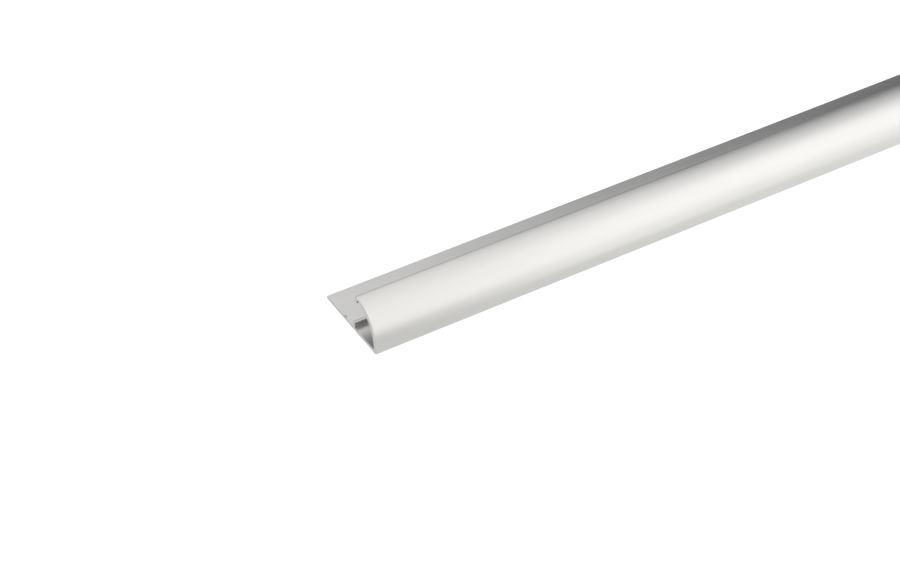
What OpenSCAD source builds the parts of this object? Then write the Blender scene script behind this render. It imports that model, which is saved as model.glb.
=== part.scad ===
// Floor trim profile: one aluminium extrusion, cut to length.
// A thin base leg is laid under the floor covering, and a quarter-round cover
// rises from its front edge and curls back over the covering's cut edge.
// X runs along the stock, Y from the front face to the rear edge, Z up.

/* [Stock] */
// Length of the cut piece, mm
stock_length = 900; // [100:50:3000]
// Overall height, from the underside to the crown of the cover
overall_height = 12; // [10.5:0.5:14]

/* [Base leg] */
// Width of the base leg, from the front face to the rear edge
base_width = 25; // [18:0.5:40]
// Thickness of the base leg
base_thickness = 0.9; // [0.7:0.1:1.4]

/* [Cover] */
// Outer radius of the quarter-round cover
cover_radius = 9.4; // [8:0.1:10.5]
// Radius of the rounded rear edge of the cover
nose_radius = 0.6; // [0.3:0.05:0.8]
// Wall thickness where the cover rises from the base leg
front_wall = 1.1; // [0.8:0.1:1.6]
// Wall thickness at the crown, in front of the lip
crown_wall = 0.8; // [0.6:0.1:1.2]
// Height of the straight inner wall, above the base leg, before the bore starts to curve
straight_wall = 0.5; // [0.4:0.1:1.5]

/* [Lip] */
// Thickness of the lip that hangs from the rear of the cover
lip_thickness = 0.8; // [0.6:0.1:1.1]
// Depth of the lip, from the crown down to its lower edge
lip_depth = 2.1; // [1.7:0.1:3]

/* [Rib] */
// Distance from the front face to the front of the rib
rib_setback = 10.7; // [8:0.1:15]
// Thickness of the rib
rib_thickness = 1.2; // [0.8:0.1:2]
// Height of the rib above the base leg
rib_height = 1.5; // [0.8:0.1:2.5]

/* [Edges] */
// Radius on the outer edges of the base leg
edge_radius = 0.2; // [0.1:0.05:0.25]
// Radius in the other inner corners
fillet_radius = 0.35; // [0.1:0.05:0.4]
// Radius on the front top edge of the rib
rib_edge_radius = 0.15; // [0.1:0.05:0.3]
// Radius at the foot of the rib, on the side of the channel
rib_foot_radius = 0.1; // [0.05:0.05:0.4]

/* [Hidden] */
$fn = 96;
// Overlap that keeps neighbouring shapes of the section in one piece
lap = 0.05;
// Height at which the outer face starts to curve
cover_spring = overall_height - cover_radius;
// Height at which the inner face starts to curve
bore_spring = base_thickness + straight_wall;
// Front and lower edge of the lip
lip_front = cover_radius + nose_radius - lip_thickness;
lip_bottom = overall_height - lip_depth;
// The inner face is one arc, upright at the front wall, that meets the lip one
// crown wall below the crown. Its run and rise give its radius.
bore_run = lip_front - front_wall;
bore_rise = overall_height - crown_wall - bore_spring;
bore_radius = (pow(bore_run, 2) + pow(bore_rise, 2)) / (2 * bore_run);
// The rib's top falls to the rear in one quarter round behind its front edge
rib_round = min(rib_thickness - rib_edge_radius, rib_height);

// What is left of a square corner outside its radius, with the corner at the
// origin and the material on the side that side_x and side_y point to.
module corner_waste(radius, side_x, side_y) {
    scale_x = side_x * radius;
    scale_y = side_y * radius;
    difference() {
        translate([min(0, scale_x) - (side_x > 0 ? lap : 0), min(0, scale_y) - (side_y > 0 ? lap : 0)])
            square(radius + lap);
        translate([scale_x, scale_y]) circle(r = radius);
    }
}

// The web of metal that rounds an inner corner at the origin, open towards
// side_x and side_y.
module corner_fillet(radius, side_x, side_y) {
    difference() {
        translate([side_x > 0 ? -lap : -radius, side_y > 0 ? -lap : -radius])
            square(radius + lap);
        translate([side_x * radius, side_y * radius]) circle(r = radius);
    }
}

// Thin base leg, with its rear and front edges eased.
module base_section() {
    difference() {
        square([base_width, base_thickness]);
        corner_waste(edge_radius, 1, 1);
        translate([base_width, 0]) corner_waste(edge_radius, -1, 1);
        translate([base_width, base_thickness]) corner_waste(edge_radius, -1, -1);
    }
}

// Front wall and quarter-round as one full shape, before the bore is taken out.
module cover_blank() {
    translate([0, edge_radius]) square([cover_radius, cover_spring - edge_radius]);
    translate([cover_radius, cover_spring]) intersection() {
        circle(r = cover_radius);
        translate([-cover_radius, 0]) square(cover_radius);
    }
}

// Space under the cover: upright at the front wall, then one arc up to the crown.
module bore_section() {
    bore_width = cover_radius - front_wall + lap;
    translate([front_wall, base_thickness])
        square([bore_width, straight_wall + lap]);
    intersection() {
        translate([front_wall + bore_radius, bore_spring]) circle(r = bore_radius);
        translate([front_wall, bore_spring]) square([bore_width, bore_radius]);
    }
}

// Rounded rear edge of the cover, and the lip that hangs from it.
module lip_section() {
    foot = lip_thickness / 2;
    translate([cover_radius, overall_height - nose_radius]) intersection() {
        circle(r = nose_radius);
        translate([-lap, -lap]) square(nose_radius + lap);
    }
    translate([lip_front, lip_bottom + foot])
        square([lip_thickness, lip_depth - nose_radius - foot]);
    translate([lip_front + foot, lip_bottom + foot]) circle(r = foot);
    translate([lip_front, overall_height - crown_wall]) corner_fillet(fillet_radius, -1, -1);
}

// Quarter-round cover with its front wall and lip.
module cover_section() {
    difference() {
        cover_blank();
        bore_section();
    }
    lip_section();
    translate([front_wall, base_thickness]) corner_fillet(fillet_radius, 1, 1);
}

// Low rib on the base leg, below and just behind the lip: upright in front,
// with a top that rounds down to the rear.
module rib_section() {
    translate([rib_setback, base_thickness]) {
        difference() {
            translate([0, -lap]) square([rib_thickness, rib_height + lap]);
            translate([0, rib_height]) corner_waste(rib_edge_radius, 1, -1);
            translate([rib_thickness, rib_height]) corner_waste(rib_round, -1, -1);
        }
        corner_fillet(rib_foot_radius, -1, 1);
        translate([rib_thickness, 0]) corner_fillet(fillet_radius, 1, 1);
    }
}

// The whole extruded section, front face at x = 0 and underside at y = 0.
module profile_section() {
    base_section();
    cover_section();
    rib_section();
}

// The stock: the section, centred across the width, drawn out along X.
module trim_profile() {
    color("silver")
        rotate([90, 0, 90])
            linear_extrude(height = stock_length, center = true)
                translate([-base_width / 2, 0]) profile_section();
}

trim_profile();
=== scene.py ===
import math

import bmesh
import bpy
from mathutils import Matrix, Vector


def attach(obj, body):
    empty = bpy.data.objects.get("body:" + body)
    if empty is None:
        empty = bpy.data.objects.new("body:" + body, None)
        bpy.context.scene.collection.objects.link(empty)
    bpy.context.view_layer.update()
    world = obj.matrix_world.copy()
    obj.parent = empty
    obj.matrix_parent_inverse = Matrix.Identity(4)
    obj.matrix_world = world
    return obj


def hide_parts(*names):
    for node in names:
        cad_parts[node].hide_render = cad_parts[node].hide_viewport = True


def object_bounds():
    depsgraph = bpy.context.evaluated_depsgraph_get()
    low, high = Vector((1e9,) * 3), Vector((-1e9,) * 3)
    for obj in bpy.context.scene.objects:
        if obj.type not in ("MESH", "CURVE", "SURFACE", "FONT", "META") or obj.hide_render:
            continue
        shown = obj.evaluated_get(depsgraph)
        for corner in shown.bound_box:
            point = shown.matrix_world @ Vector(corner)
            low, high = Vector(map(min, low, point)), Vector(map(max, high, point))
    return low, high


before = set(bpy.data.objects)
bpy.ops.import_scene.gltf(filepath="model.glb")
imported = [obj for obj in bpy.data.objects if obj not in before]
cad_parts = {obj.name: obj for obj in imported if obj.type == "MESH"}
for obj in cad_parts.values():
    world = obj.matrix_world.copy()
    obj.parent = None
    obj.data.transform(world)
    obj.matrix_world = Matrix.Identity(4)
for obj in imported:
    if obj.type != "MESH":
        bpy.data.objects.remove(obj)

cad_low, cad_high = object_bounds()
scene = bpy.context.scene
scene.view_settings.view_transform = "Standard"


# Viewpoint: a long lens in front of the stock's left end looks down across it,
# so that the sawn section, the cover and the base leg all show. The right end
# runs out of the picture.
camera_place = (-0.6626, -0.3991, 0.4010)
turned_right = math.radians(31.178)
tilted_down = math.radians(40.628)
film_width = 36.0
lens_length = 96.4
nearest_seen = 0.01
farthest_seen = 50.0

camera_data = bpy.data.cameras.new("product_camera")
camera_data.sensor_width = film_width
camera_data.lens = lens_length
camera_data.clip_start = nearest_seen
camera_data.clip_end = farthest_seen
camera = bpy.data.objects.new("product_camera", camera_data)
camera.location = camera_place
camera.rotation_euler = (math.pi / 2 - tilted_down, 0.0, -turned_right)
scene.collection.objects.link(camera)
scene.camera = camera


# Trim profile: the whole part is one aluminium extrusion, pressed through a die,
# anodised and sawn to length. Its section holds the thin base leg, the quarter-round
# cover with its lip, and the low rib behind the lip.
mm = 0.001
stock_length = cad_high.x - cad_low.x

# The section's sizes, in millimetres.
overall_height = 12.0
base_width = 25.0
base_thickness = 0.9
cover_radius = 9.4
nose_radius = 0.6
front_wall = 1.1
crown_wall = 0.8
straight_wall = 0.5
lip_thickness = 0.8
lip_depth = 2.1
rib_setback = 10.7
rib_thickness = 1.2
rib_height = 1.5
rib_edge_radius = 0.15
rib_rear_radius = 0.75
rib_foot_radius = 0.1
edge_radius = 0.2
fillet_radius = 0.35

# Two points of the outline that are nearer than same_point are one. A flat longer than
# long_flat gets a narrow strip at both ends, which keeps it flat beside its rounds.
same_point = 0.001
long_flat = 0.6
flat_strip = 0.04


def arc(centre_y, centre_z, radius, start, end, steps):
    """Points of the section on a round of that radius, from start to end degrees."""
    points = []
    for step in range(steps + 1):
        angle = math.radians(start + (end - start) * step / steps)
        points.append((centre_y + radius * math.cos(angle), centre_z + radius * math.sin(angle)))
    return points


def trim_section():
    """Outline of the section in millimetres, from its front face and its underside."""
    cover_spring = overall_height - cover_radius
    bore_spring = base_thickness + straight_wall
    lip_front = cover_radius + nose_radius - lip_thickness
    lip_foot = lip_thickness / 2
    foot_centre = overall_height - lip_depth + lip_foot
    rib_rear = rib_setback + rib_thickness
    rib_top = base_thickness + rib_height
    rib_foot = base_thickness + rib_foot_radius
    leg_fillet = base_thickness + fillet_radius
    leg_rear = base_width - edge_radius

    # The bore is one arc. It is upright at the front wall, and ends a crown wall below the top.
    bore_run = lip_front - front_wall
    bore_rise = overall_height - crown_wall - bore_spring
    bore_radius = (bore_run ** 2 + bore_rise ** 2) / (2 * bore_run)
    bore_centre = front_wall + bore_radius

    # The small round under the crown touches the lip and the bore's arc.
    crown_y = lip_front - fillet_radius
    crown_reach = math.sqrt((bore_radius - fillet_radius) ** 2 - (crown_y - bore_centre) ** 2)
    crown_angle = math.degrees(math.atan2(crown_reach, crown_y - bore_centre))

    # Each round's centre, radius, first and last angle in degrees, and number of steps.
    rounds = {
        "front bottom edge": (edge_radius, edge_radius, edge_radius, 270, 180, 8),
        "cover": (cover_radius, cover_spring, cover_radius, 180, 90, 48),
        "nose": (cover_radius, overall_height - nose_radius, nose_radius, 90, 0, 12),
        "lip foot": (lip_front + lip_foot, foot_centre, lip_foot, 0, -180, 16),
        "under the crown": (crown_y, bore_spring + crown_reach, fillet_radius, 0, crown_angle, 10),
        "bore": (bore_centre, bore_spring, bore_radius, crown_angle, 180, 40),
        "wall foot": (front_wall + fillet_radius, leg_fillet, fillet_radius, 180, 270, 8),
        "rib front foot": (rib_setback - rib_foot_radius, rib_foot, rib_foot_radius, 270, 360, 6),
        "rib front edge": (rib_setback + rib_edge_radius, rib_top - rib_edge_radius,
                           rib_edge_radius, 180, 90, 6),
        "rib rear": (rib_rear - rib_rear_radius, rib_top - rib_rear_radius,
                     rib_rear_radius, 90, 0, 10),
        "rib rear foot": (rib_rear + fillet_radius, leg_fillet, fillet_radius, 180, 270, 8),
        "leg top edge": (leg_rear, base_thickness - edge_radius, edge_radius, 90, 0, 8),
        "leg bottom edge": (leg_rear, edge_radius, edge_radius, 0, -90, 8),
    }
    outline = []
    for sizes in rounds.values():
        for point in arc(*sizes):
            if not outline or math.dist(point, outline[-1]) > same_point:
                outline.append(point)

    supported = []
    for here, ahead in zip(outline, outline[1:] + outline[:1]):
        supported.append(here)
        run = math.dist(here, ahead)
        if run > long_flat:
            for part in (flat_strip / run, 1 - flat_strip / run):
                supported.append((here[0] + (ahead[0] - here[0]) * part,
                                  here[1] + (ahead[1] - here[1]) * part))
    return supported


def feed(tree, socket, value):
    """Give a node's socket its value: a fixed one, or another node's output."""
    if isinstance(value, bpy.types.NodeSocket):
        tree.links.new(value, socket)
    else:
        socket.default_value = value


def math_node(tree, kind, operation, *values):
    """A Math or Vector Math node that works on the values."""
    node = tree.nodes.new(kind)
    node.operation = operation
    for socket, value in zip(node.inputs, values):
        feed(tree, socket, value)
    return node


def reckoned(tree, operation, *values):
    """The number that a Math node gives."""
    return math_node(tree, "ShaderNodeMath", operation, *values).outputs["Value"]


def measured(tree, operation, *values):
    """The length or distance that a Vector Math node gives."""
    return math_node(tree, "ShaderNodeVectorMath", operation, *values).outputs["Value"]


def moved(tree, operation, *values):
    """The vector that a Vector Math node gives."""
    return math_node(tree, "ShaderNodeVectorMath", operation, *values).outputs["Vector"]


def ranged(tree, value, span, levels=(0.0, 1.0), eased=False):
    """The value's span laid over the levels, and held at both ends of them."""
    node = tree.nodes.new("ShaderNodeMapRange")
    node.interpolation_type = "SMOOTHSTEP" if eased else "LINEAR"
    feed(tree, node.inputs["Value"], value)
    for name, bound in zip(("From Min", "From Max", "To Min", "To Max"), (*span, *levels)):
        feed(tree, node.inputs[name], bound)
    return node.outputs["Result"]


def mixed(tree, data_type, factor, first, second):
    """The first value where the factor is 0, and the second where it is 1."""
    node = tree.nodes.new("ShaderNodeMix")
    node.data_type = data_type
    for name, value in (("Factor", factor), ("A", first), ("B", second)):
        feed(tree, node.inputs[name], value)
    return node.outputs["Result"]


def stock_tree():
    """Geometry Nodes that draw a section out into stock, as the press does."""
    tree = bpy.data.node_groups.new("draw_out_stock", "GeometryNodeTree")
    sockets = tree.interface
    sockets.new_socket("Section", in_out="INPUT", socket_type="NodeSocketGeometry")
    length = sockets.new_socket("Stock length", in_out="INPUT", socket_type="NodeSocketFloat")
    spacing = sockets.new_socket("Ring spacing", in_out="INPUT", socket_type="NodeSocketFloat")
    finish = sockets.new_socket("Finish", in_out="INPUT", socket_type="NodeSocketMaterial")
    sockets.new_socket("Stock", in_out="OUTPUT", socket_type="NodeSocketGeometry")

    nodes = tree.nodes
    link = tree.links.new
    given = nodes.new("NodeGroupInput")
    made = nodes.new("NodeGroupOutput")

    # The section is drawn along X, half the length to either side of the middle.
    half_length = reckoned(tree, "MULTIPLY", given.outputs["Stock length"], 0.5)
    left_end = nodes.new("ShaderNodeCombineXYZ")
    right_end = nodes.new("ShaderNodeCombineXYZ")
    path = nodes.new("GeometryNodeCurvePrimitiveLine")
    link(reckoned(tree, "MULTIPLY", half_length, -1.0), left_end.inputs["X"])
    link(half_length, right_end.inputs["X"])
    link(left_end.outputs["Vector"], path.inputs["Start"])
    link(right_end.outputs["Vector"], path.inputs["End"])

    rings = nodes.new("GeometryNodeResampleCurve")
    rings.mode = "LENGTH"
    upright = nodes.new("GeometryNodeSetCurveTilt")
    upright.inputs["Tilt"].default_value = math.pi
    draw = nodes.new("GeometryNodeCurveToMesh")
    draw.inputs["Fill Caps"].default_value = True
    smooth = nodes.new("GeometryNodeSetShadeSmooth")
    whole = nodes.new("GeometryNodeRealizeInstances")
    coat = nodes.new("GeometryNodeSetMaterial")
    link(path.outputs["Curve"], rings.inputs["Curve"])
    link(given.outputs["Ring spacing"], rings.inputs["Length"])
    link(rings.outputs["Curve"], upright.inputs["Curve"])
    link(upright.outputs["Curve"], draw.inputs["Curve"])
    link(given.outputs["Section"], draw.inputs["Profile Curve"])
    link(draw.outputs["Mesh"], smooth.inputs["Geometry"])
    link(smooth.outputs["Geometry"], whole.inputs["Geometry"])
    link(whole.outputs["Geometry"], coat.inputs["Geometry"])
    link(given.outputs["Finish"], coat.inputs["Material"])
    link(coat.outputs["Geometry"], made.inputs["Stock"])
    return tree, length.identifier, spacing.identifier, finish.identifier


# The saw left one small nick in the top edge of the leg, at the left end: a round bite,
# centred this far behind the middle of the width and this far above the leg. Its painted
# shade, a darker colour, reaches a little further than the bite.
nick_radius = 0.6 * mm
nick_setback = 3.2 * mm
nick_rise = 0.3 * mm
nick_centre = Vector((-stock_length / 2, nick_setback, base_thickness * mm + nick_rise))
nick_shade_reach = 1.1 * nick_radius

# The skin's tone wanders between two pale greys. The nick gets a darker colour, a painted
# shade in the bite. The channel under the cover gets a painted shade, a darker colour for
# the shade that falls under the cover, and it is set duller too, to match how dark it looks
# at the sawn end. How much of that is its finish, and how much is shade, is a guess.
skin_dark = (0.802, 0.79, 0.759, 1.0)
skin_pale = (0.822, 0.81, 0.779, 1.0)
channel_painted_shade = (0.475, 0.475, 0.475, 1.0)
nick_painted_shade = (0.53, 0.52, 0.5, 1.0)

# Roughness, from lowest to highest. The mill bands add theirs to that of the die lines.
die_line_roughness = (0.335, 0.385)
mill_band_roughness = (-0.012, 0.012)
sawn_roughness = (0.40, 0.48)
channel_roughness = 0.6

# Die lines and saw marks stand up this much, and the sawn finish reaches this far in from
# the ends.
relief_strength = 0.5
relief_depth = 0.006 * mm
sawn_depth = 0.02 * mm

# The range in which most of a noise's values lie.
noise_middle = (0.3, 0.7)

# How far behind the front face the leg's painted shade is darkest and its finish dullest,
# in millimetres.
darkest_dullest_leg = 4.0


def satin_anodised():
    """Natural anodised aluminium: satin, with faint die lines, and plain sawn ends."""
    material = bpy.data.materials.new("anodised_aluminium")
    material.use_nodes = True
    tree = material.node_tree
    nodes = tree.nodes
    link = tree.links.new
    shader = nodes["Principled BSDF"]
    shader.inputs["Metallic"].default_value = 1.0
    place = nodes.new("ShaderNodeTexCoord").outputs["Object"]
    axes = nodes.new("ShaderNodeSeparateXYZ")
    link(place, axes.inputs["Vector"])

    def streaks(stretch, scale, detail, turn=0.0):
        """Noise drawn out along one axis; stretch is the scale that each axis gets."""
        mapping = nodes.new("ShaderNodeMapping")
        mapping.inputs["Scale"].default_value = stretch
        mapping.inputs["Rotation"].default_value = (turn, 0.0, 0.0)
        noise = nodes.new("ShaderNodeTexNoise")
        noise.inputs["Scale"].default_value = scale
        noise.inputs["Detail"].default_value = detail
        link(place, mapping.inputs["Vector"])
        link(mapping.outputs["Vector"], noise.inputs["Vector"])
        return noise.outputs["Fac"]

    # The sawn ends are the two planes across the stock, and all between them is drawn skin.
    from_middle = reckoned(tree, "ABSOLUTE", axes.outputs["X"])
    sawn = reckoned(tree, "GREATER_THAN", from_middle, stock_length / 2 - sawn_depth)
    drawn = reckoned(tree, "SUBTRACT", 1.0, sawn)

    # The channel is what lies inside the cover and above the underside. Its painted shade
    # gets darker, and its finish duller, along the leg from the rib towards the front wall, and
    # from half its height up to the crown.
    cover_axis = ((cover_radius - base_width / 2) * mm, (overall_height - cover_radius) * mm)
    from_axis = moved(tree, "SUBTRACT", place, (0.0, *cover_axis))
    across = moved(tree, "MULTIPLY", from_axis, (0.0, 1.0, 1.0))
    inner_reach = (cover_radius - crown_wall / 2) * mm
    inside = reckoned(tree, "LESS_THAN", measured(tree, "LENGTH", across), inner_reach)
    above = reckoned(tree, "GREATER_THAN", axes.outputs["Z"], base_thickness / 2 * mm)
    leg_span = ((rib_setback - base_width / 2) * mm, (darkest_dullest_leg - base_width / 2) * mm)
    crown_span = (overall_height / 2 * mm, (overall_height - lip_depth) * mm)
    along_leg = ranged(tree, axes.outputs["Y"], leg_span, eased=True)
    up_to_crown = ranged(tree, axes.outputs["Z"], crown_span)
    shade_and_dull = reckoned(tree, "MAXIMUM", along_leg, up_to_crown)
    for part in (inside, above, drawn):
        shade_and_dull = reckoned(tree, "MULTIPLY", shade_and_dull, part)

    # The nick's mask paints shade: a darker base colour in the bite and a little around it.
    from_nick = measured(tree, "DISTANCE", place, nick_centre)
    nick = ranged(tree, from_nick, (nick_shade_reach, nick_radius), eased=True)

    die_lines = streaks(stretch=(0.004, 1.0, 1.0), scale=2600.0, detail=4.0)
    mill_bands = streaks(stretch=(0.15, 1.0, 1.0), scale=260.0, detail=2.0)
    saw_marks = streaks(stretch=(1.0, 1.0, 0.06), scale=5000.0, detail=2.0, turn=math.radians(24))

    skin_tone = mixed(tree, "RGBA", ranged(tree, mill_bands, noise_middle), skin_dark, skin_pale)
    # Painted shade: the base colour is darkened in the channel and in the nick.
    skin_with_painted_shade = mixed(tree, "RGBA", shade_and_dull, skin_tone, channel_painted_shade)
    link(mixed(tree, "RGBA", nick, skin_with_painted_shade, nick_painted_shade), shader.inputs["Base Color"])

    skin_finish = reckoned(tree, "ADD", ranged(tree, die_lines, noise_middle, die_line_roughness),
                           ranged(tree, mill_bands, noise_middle, mill_band_roughness))
    sawn_finish = ranged(tree, saw_marks, noise_middle, sawn_roughness)
    finish = mixed(tree, "FLOAT", sawn, skin_finish, sawn_finish)
    link(mixed(tree, "FLOAT", shade_and_dull, finish, channel_roughness), shader.inputs["Roughness"])

    bump = nodes.new("ShaderNodeBump")
    bump.inputs["Strength"].default_value = relief_strength
    bump.inputs["Distance"].default_value = relief_depth
    link(mixed(tree, "FLOAT", sawn, die_lines, saw_marks), bump.inputs["Height"])
    link(bump.outputs["Normal"], shader.inputs["Normal"])
    return material


def plain_mesh(piece):
    """The piece's mesh as its modifiers leave it. The piece itself is taken away."""
    evaluated = piece.evaluated_get(bpy.context.evaluated_depsgraph_get())
    mesh = bpy.data.meshes.new_from_object(evaluated)
    bpy.data.objects.remove(piece)
    return mesh


section_curve = bpy.data.curves.new("trim_section", "CURVE")
section_curve.dimensions = "3D"
outline = trim_section()
spline = section_curve.splines.new("POLY")
spline.points.add(len(outline) - 1)
for spot, (rearward, upward) in zip(spline.points, outline):
    spot.co = ((rearward - base_width / 2) * mm, upward * mm, 0.0, 1.0)
spline.use_cyclic_u = True
section = bpy.data.objects.new("trim_section", section_curve)
scene.collection.objects.link(section)

ring_spacing = 20 * mm
draw_out = section.modifiers.new("draw_out_stock", "NODES")
draw_out.node_group, length_input, spacing_input, finish_input = stock_tree()
draw_out[length_input] = stock_length
draw_out[spacing_input] = ring_spacing
draw_out[finish_input] = satin_anodised()
profile_mesh = plain_mesh(section)

# The saw leaves square edges, which are eased with a file on both ends.
end_easing = 0.035 * mm
easing_steps = 3
end_slack = 0.001 * mm
end_plane = stock_length / 2 - end_slack
stock = bmesh.new()
stock.from_mesh(profile_mesh)
rims = [edge for edge in stock.edges if all(abs(v.co.x) > end_plane for v in edge.verts)]
bmesh.ops.bevel(stock, geom=rims, offset=end_easing, segments=easing_steps, profile=0.5,
                affect="EDGES", clamp_overlap=False)
bmesh.ops.recalc_face_normals(stock, faces=stock.faces)
stock.to_mesh(profile_mesh)
stock.free()

# A small round bite is cut out of the left end for the nick.
bite_mesh = bpy.data.meshes.new("saw_nick")
bite = bmesh.new()
bmesh.ops.create_icosphere(bite, subdivisions=2, radius=nick_radius)
bmesh.ops.translate(bite, verts=bite.verts, vec=nick_centre)
bite.to_mesh(bite_mesh)
bite.free()
saw_nick = bpy.data.objects.new("saw_nick", bite_mesh)
scene.collection.objects.link(saw_nick)
sawn_stock = bpy.data.objects.new("sawn_stock", profile_mesh)
scene.collection.objects.link(sawn_stock)
cut = sawn_stock.modifiers.new("saw_nick", "BOOLEAN")
cut.operation = "DIFFERENCE"
cut.solver = "EXACT"
cut.object = saw_nick
profile_mesh = plain_mesh(sawn_stock)
bpy.data.objects.remove(saw_nick)

# The sawn faces, which look along the stock, shade flat. The easing's inner rim and the
# nick's facets stay sharp.
along_stock = 0.99
easing_rim = stock_length / 2 - end_easing
rim_slack = 0.01 * end_easing
nick_reach = 1.01 * nick_radius
stock = bmesh.new()
stock.from_mesh(profile_mesh)
for face in stock.faces:
    face.smooth = abs(face.normal.x) < along_stock
for edge in stock.edges:
    on_rim = all(abs(abs(v.co.x) - easing_rim) < rim_slack for v in edge.verts)
    in_nick = all((v.co - nick_centre).length < nick_reach for v in edge.verts)
    edge.smooth = not (on_rim or in_nick)
stock.to_mesh(profile_mesh)
stock.free()

profile = bpy.data.objects.new("trim_profile_stock", profile_mesh)
scene.collection.objects.link(profile)
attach(profile, "root")
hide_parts("trim_profile")


# Floor: a plain pale studio floor that the stock lies on. A glow of its own makes it white
# to the camera and a little paler in the metal, and it keeps the stock's soft shadow.
floor_reach = 4.0
floor_gap = 0.00002
floor_colour = (0.785, 0.8, 0.815, 1.0)
floor_roughness = 0.9
glow_to_camera = 0.7
glow_to_metal = 0.10
white = (1.0, 1.0, 1.0, 1.0)


def flat_corners(left, right, front, rear, height=0.0):
    """Corners of a level rectangle, in the order that faces it up."""
    return [(left, front, height), (right, front, height),
            (right, rear, height), (left, rear, height)]


floor_mesh = bpy.data.meshes.new("studio_floor")
floor_corners = flat_corners(-floor_reach, floor_reach, -floor_reach, floor_reach)
floor_mesh.from_pydata(floor_corners, [], [(0, 1, 2, 3)])
floor = bpy.data.objects.new("studio_floor", floor_mesh)
floor.location.z = -floor_gap
scene.collection.objects.link(floor)


def backdrop_glow(tree, to_camera, to_metal):
    """A strength that only what sees the backdrop gets: the camera, and gloss and glass."""
    rays = tree.nodes.new("ShaderNodeLightPath").outputs
    camera_part = reckoned(tree, "MULTIPLY", rays["Is Camera Ray"], to_camera)
    reflected = reckoned(tree, "MAXIMUM", rays["Is Glossy Ray"], rays["Is Transmission Ray"])
    return reckoned(tree, "MULTIPLY_ADD", reflected, to_metal, camera_part)


floor_paint = bpy.data.materials.new("studio_floor")
floor_paint.use_nodes = True
floor_tree = floor_paint.node_tree
floor_shader = floor_tree.nodes["Principled BSDF"]
floor_shader.inputs["Base Color"].default_value = floor_colour
floor_shader.inputs["Roughness"].default_value = floor_roughness
floor_shader.inputs["Specular IOR Level"].default_value = 0.0
floor_shader.inputs["Emission Color"].default_value = white
floor_glow = backdrop_glow(floor_tree, glow_to_camera, glow_to_metal)
floor_tree.links.new(floor_glow, floor_shader.inputs["Emission Strength"])
floor_mesh.materials.append(floor_paint)


# Room: plain white walls all round. They are full white to the camera and in the metal,
# and light the floor and the stock at a little under half of that.
room_light = 0.46
world = bpy.data.worlds.new("white_room")
world.use_nodes = True
scene.world = world
room_tree = world.node_tree
background = room_tree.nodes["Background"]
background.inputs["Color"].default_value = white
room_glow = backdrop_glow(room_tree, 1.0 - room_light, 1.0 - room_light)
room_level = reckoned(room_tree, "ADD", room_glow, room_light)
room_tree.links.new(room_level, background.inputs["Strength"])


# Key: one soft square lamp, above and in front of the stock, aimed at the end that shows.
# It throws the soft shadow, and doesn't show in the metal.
key_size = 0.35
key_power = 1.45
key_place = (-0.1, -0.3, 0.25)
key_aim = Vector((-0.35, 0.0, 0.0))

key_data = bpy.data.lights.new("key_softbox", "AREA")
key_data.shape = "SQUARE"
key_data.size = key_size
key_data.energy = key_power
key = bpy.data.objects.new("key_softbox", key_data)
key.location = key_place
key.rotation_euler = (key_aim - key.location).to_track_quat("-Z", "Y").to_euler()
key.visible_glossy = False
scene.collection.objects.link(key)


# Softbox: a wide soft lamp that leans over the stock from the front right. The camera
# doesn't see it, and the metal shows it as a faint glow on the cover.
softbox_width = 0.86
softbox_depth = 0.54
softbox_glow = 0.174
softbox_place = (0.153, -0.299, 0.129)
softbox_lean = math.radians(28.6)

softbox_data = bpy.data.lights.new("leaning_softbox", "AREA")
softbox_data.shape = "RECTANGLE"
softbox_data.size = softbox_width
softbox_data.size_y = softbox_depth
softbox_data.energy = softbox_glow * math.pi * softbox_width * softbox_depth
softbox = bpy.data.objects.new("leaning_softbox", softbox_data)
softbox.location = softbox_place
softbox.rotation_euler.x = softbox_lean
softbox.visible_camera = False
scene.collection.objects.link(softbox)


# Dark cards: a low curtain behind the stock, a grey card on the floor up to it, and a
# paler one beyond the sawn end. Only the metal sees them, as a darker line along the lip
# and behind the rib.

# The places and levels of these cards, and of the front card and the overhead sheet, are
# set to match this one view. They are part of why the metal looks dark from behind.
curtain_place = 0.6
curtain_height = 0.3
curtain_ends = (-0.6, 2.0)
floor_card_front = 0.0135
end_card_ends = (-0.9, -0.4502)
end_card_reach = 0.3

# Cards on the floor lie this far above it, and the floor card twice as far, because it
# passes over the end card.
card_lift = 0.0001


def metal_card(name, corners):
    """A glowing card that only the metal sees: its object, its node tree and its glow."""
    mesh = bpy.data.meshes.new(name)
    mesh.from_pydata(corners, [], [(0, 1, 2, 3)])
    card = bpy.data.objects.new(name, mesh)
    card.visible_camera = False
    card.visible_diffuse = False
    card.visible_shadow = False
    card.visible_transmission = False
    scene.collection.objects.link(card)
    paint = bpy.data.materials.new(name)
    paint.use_nodes = True
    tree = paint.node_tree
    tree.nodes.remove(tree.nodes["Principled BSDF"])
    glow = tree.nodes.new("ShaderNodeEmission")
    tree.links.new(glow.outputs["Emission"], tree.nodes["Material Output"].inputs["Surface"])
    mesh.materials.append(paint)
    return card, tree, glow


curtain_foot = [(x, curtain_place, 0.0) for x in curtain_ends]
curtain_head = [(x, curtain_place, curtain_height) for x in reversed(curtain_ends)]
floor_card = flat_corners(*curtain_ends, floor_card_front, curtain_place, 2 * card_lift)
end_card = flat_corners(*end_card_ends, -end_card_reach, end_card_reach, card_lift)

# Each card's corners, and how bright the metal sees it, where the room's white is 1.
dark_cards = {
    "curtain": (curtain_foot + curtain_head, 0.12),
    "floor_card": (floor_card, 0.5),
    "end_card": (end_card, 0.66),
}
for card_name, (card_corners, card_level) in dark_cards.items():
    card_glow = metal_card(card_name, card_corners)[2]
    card_glow.inputs["Strength"].default_value = card_level


# Front card: a card on the floor in front of the stock, that gets whiter away from the
# sawn end. Only the metal sees it, in the lower part of the cover.
front_card_ends = (-0.46, 1.0)
front_card_width = (-0.06, -0.018)
front_fade = (-0.46, -0.37)
front_levels = (0.62, 1.0)

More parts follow.
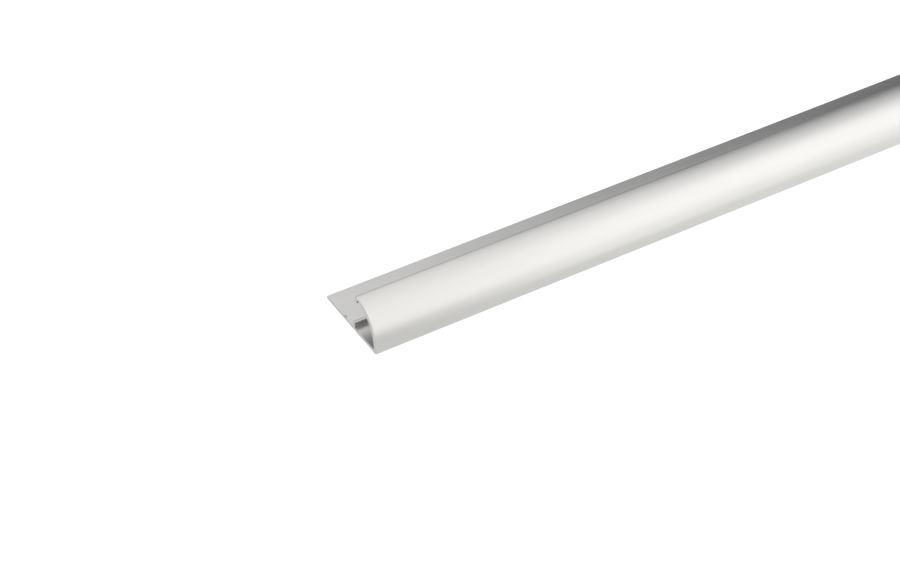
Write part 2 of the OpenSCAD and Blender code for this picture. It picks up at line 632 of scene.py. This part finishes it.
front_corners = flat_corners(*front_card_ends, *front_card_width, card_lift)
front_card, front_tree, front_glow = metal_card("front_card", front_corners)
front_place = front_tree.nodes.new("ShaderNodeTexCoord")
front_axes = front_tree.nodes.new("ShaderNodeSeparateXYZ")
front_tree.links.new(front_place.outputs["Object"], front_axes.inputs["Vector"])
front_level = ranged(front_tree, front_axes.outputs["X"], front_fade, front_levels, eased=True)
front_tree.links.new(front_level, front_glow.inputs["Strength"])


# Overhead sheet: a white sheet hung above the stock, with a wide dark hole behind and to
# the right. Only the metal sees it, and the leg gets darker towards the hole.
sheet_height = 0.3
sheet_reach = 2.0
sheet_centre = (0.094, 0.618)
sheet_turn = -0.152
sheet_white = 1.035
hole_radius = 0.137
hole_stretch = 0.5

# Each channel's level in the hole, and the radius at which it has come up to white. Blue
# comes up a little sooner than red, which keeps the leg neutral.
sheet_channels = (("Red", 0.0, 0.459), ("Green", 0.003, 0.4567), ("Blue", 0.008, 0.4498))

# To the left, over the sawn end, the sheet is a little dimmer.
left_fade = (-0.50, -0.28)
left_levels = (0.835, 1.0)

sheet_corners = flat_corners(-sheet_reach, sheet_reach, -sheet_reach, sheet_reach)
sheet, sheet_tree, sheet_glow = metal_card("overhead_sheet", sheet_corners)
sheet.location = (*sheet_centre, sheet_height)
sheet.rotation_euler.z = sheet_turn
sheet_place = sheet_tree.nodes.new("ShaderNodeTexCoord").outputs["Object"]
stretch = sheet_tree.nodes.new("ShaderNodeMapping")
stretch.inputs["Scale"].default_value = (1.0, hole_stretch, 1.0)
sheet_tree.links.new(sheet_place, stretch.inputs["Vector"])
from_centre = measured(sheet_tree, "LENGTH", stretch.outputs["Vector"])
sheet_colour = sheet_tree.nodes.new("ShaderNodeCombineColor")
for channel, darkest, white_radius in sheet_channels:
    fade = ranged(sheet_tree, from_centre, (hole_radius, white_radius),
                  (darkest, sheet_white), eased=True)
    sheet_tree.links.new(fade, sheet_colour.inputs[channel])
sheet_tree.links.new(sheet_colour.outputs["Color"], sheet_glow.inputs["Color"])
sheet_axes = sheet_tree.nodes.new("ShaderNodeSeparateXYZ")
sheet_tree.links.new(sheet_place, sheet_axes.inputs["Vector"])
sheet_level = ranged(sheet_tree, sheet_axes.outputs["X"], left_fade, left_levels, eased=True)
sheet_tree.links.new(sheet_level, sheet_glow.inputs["Strength"])
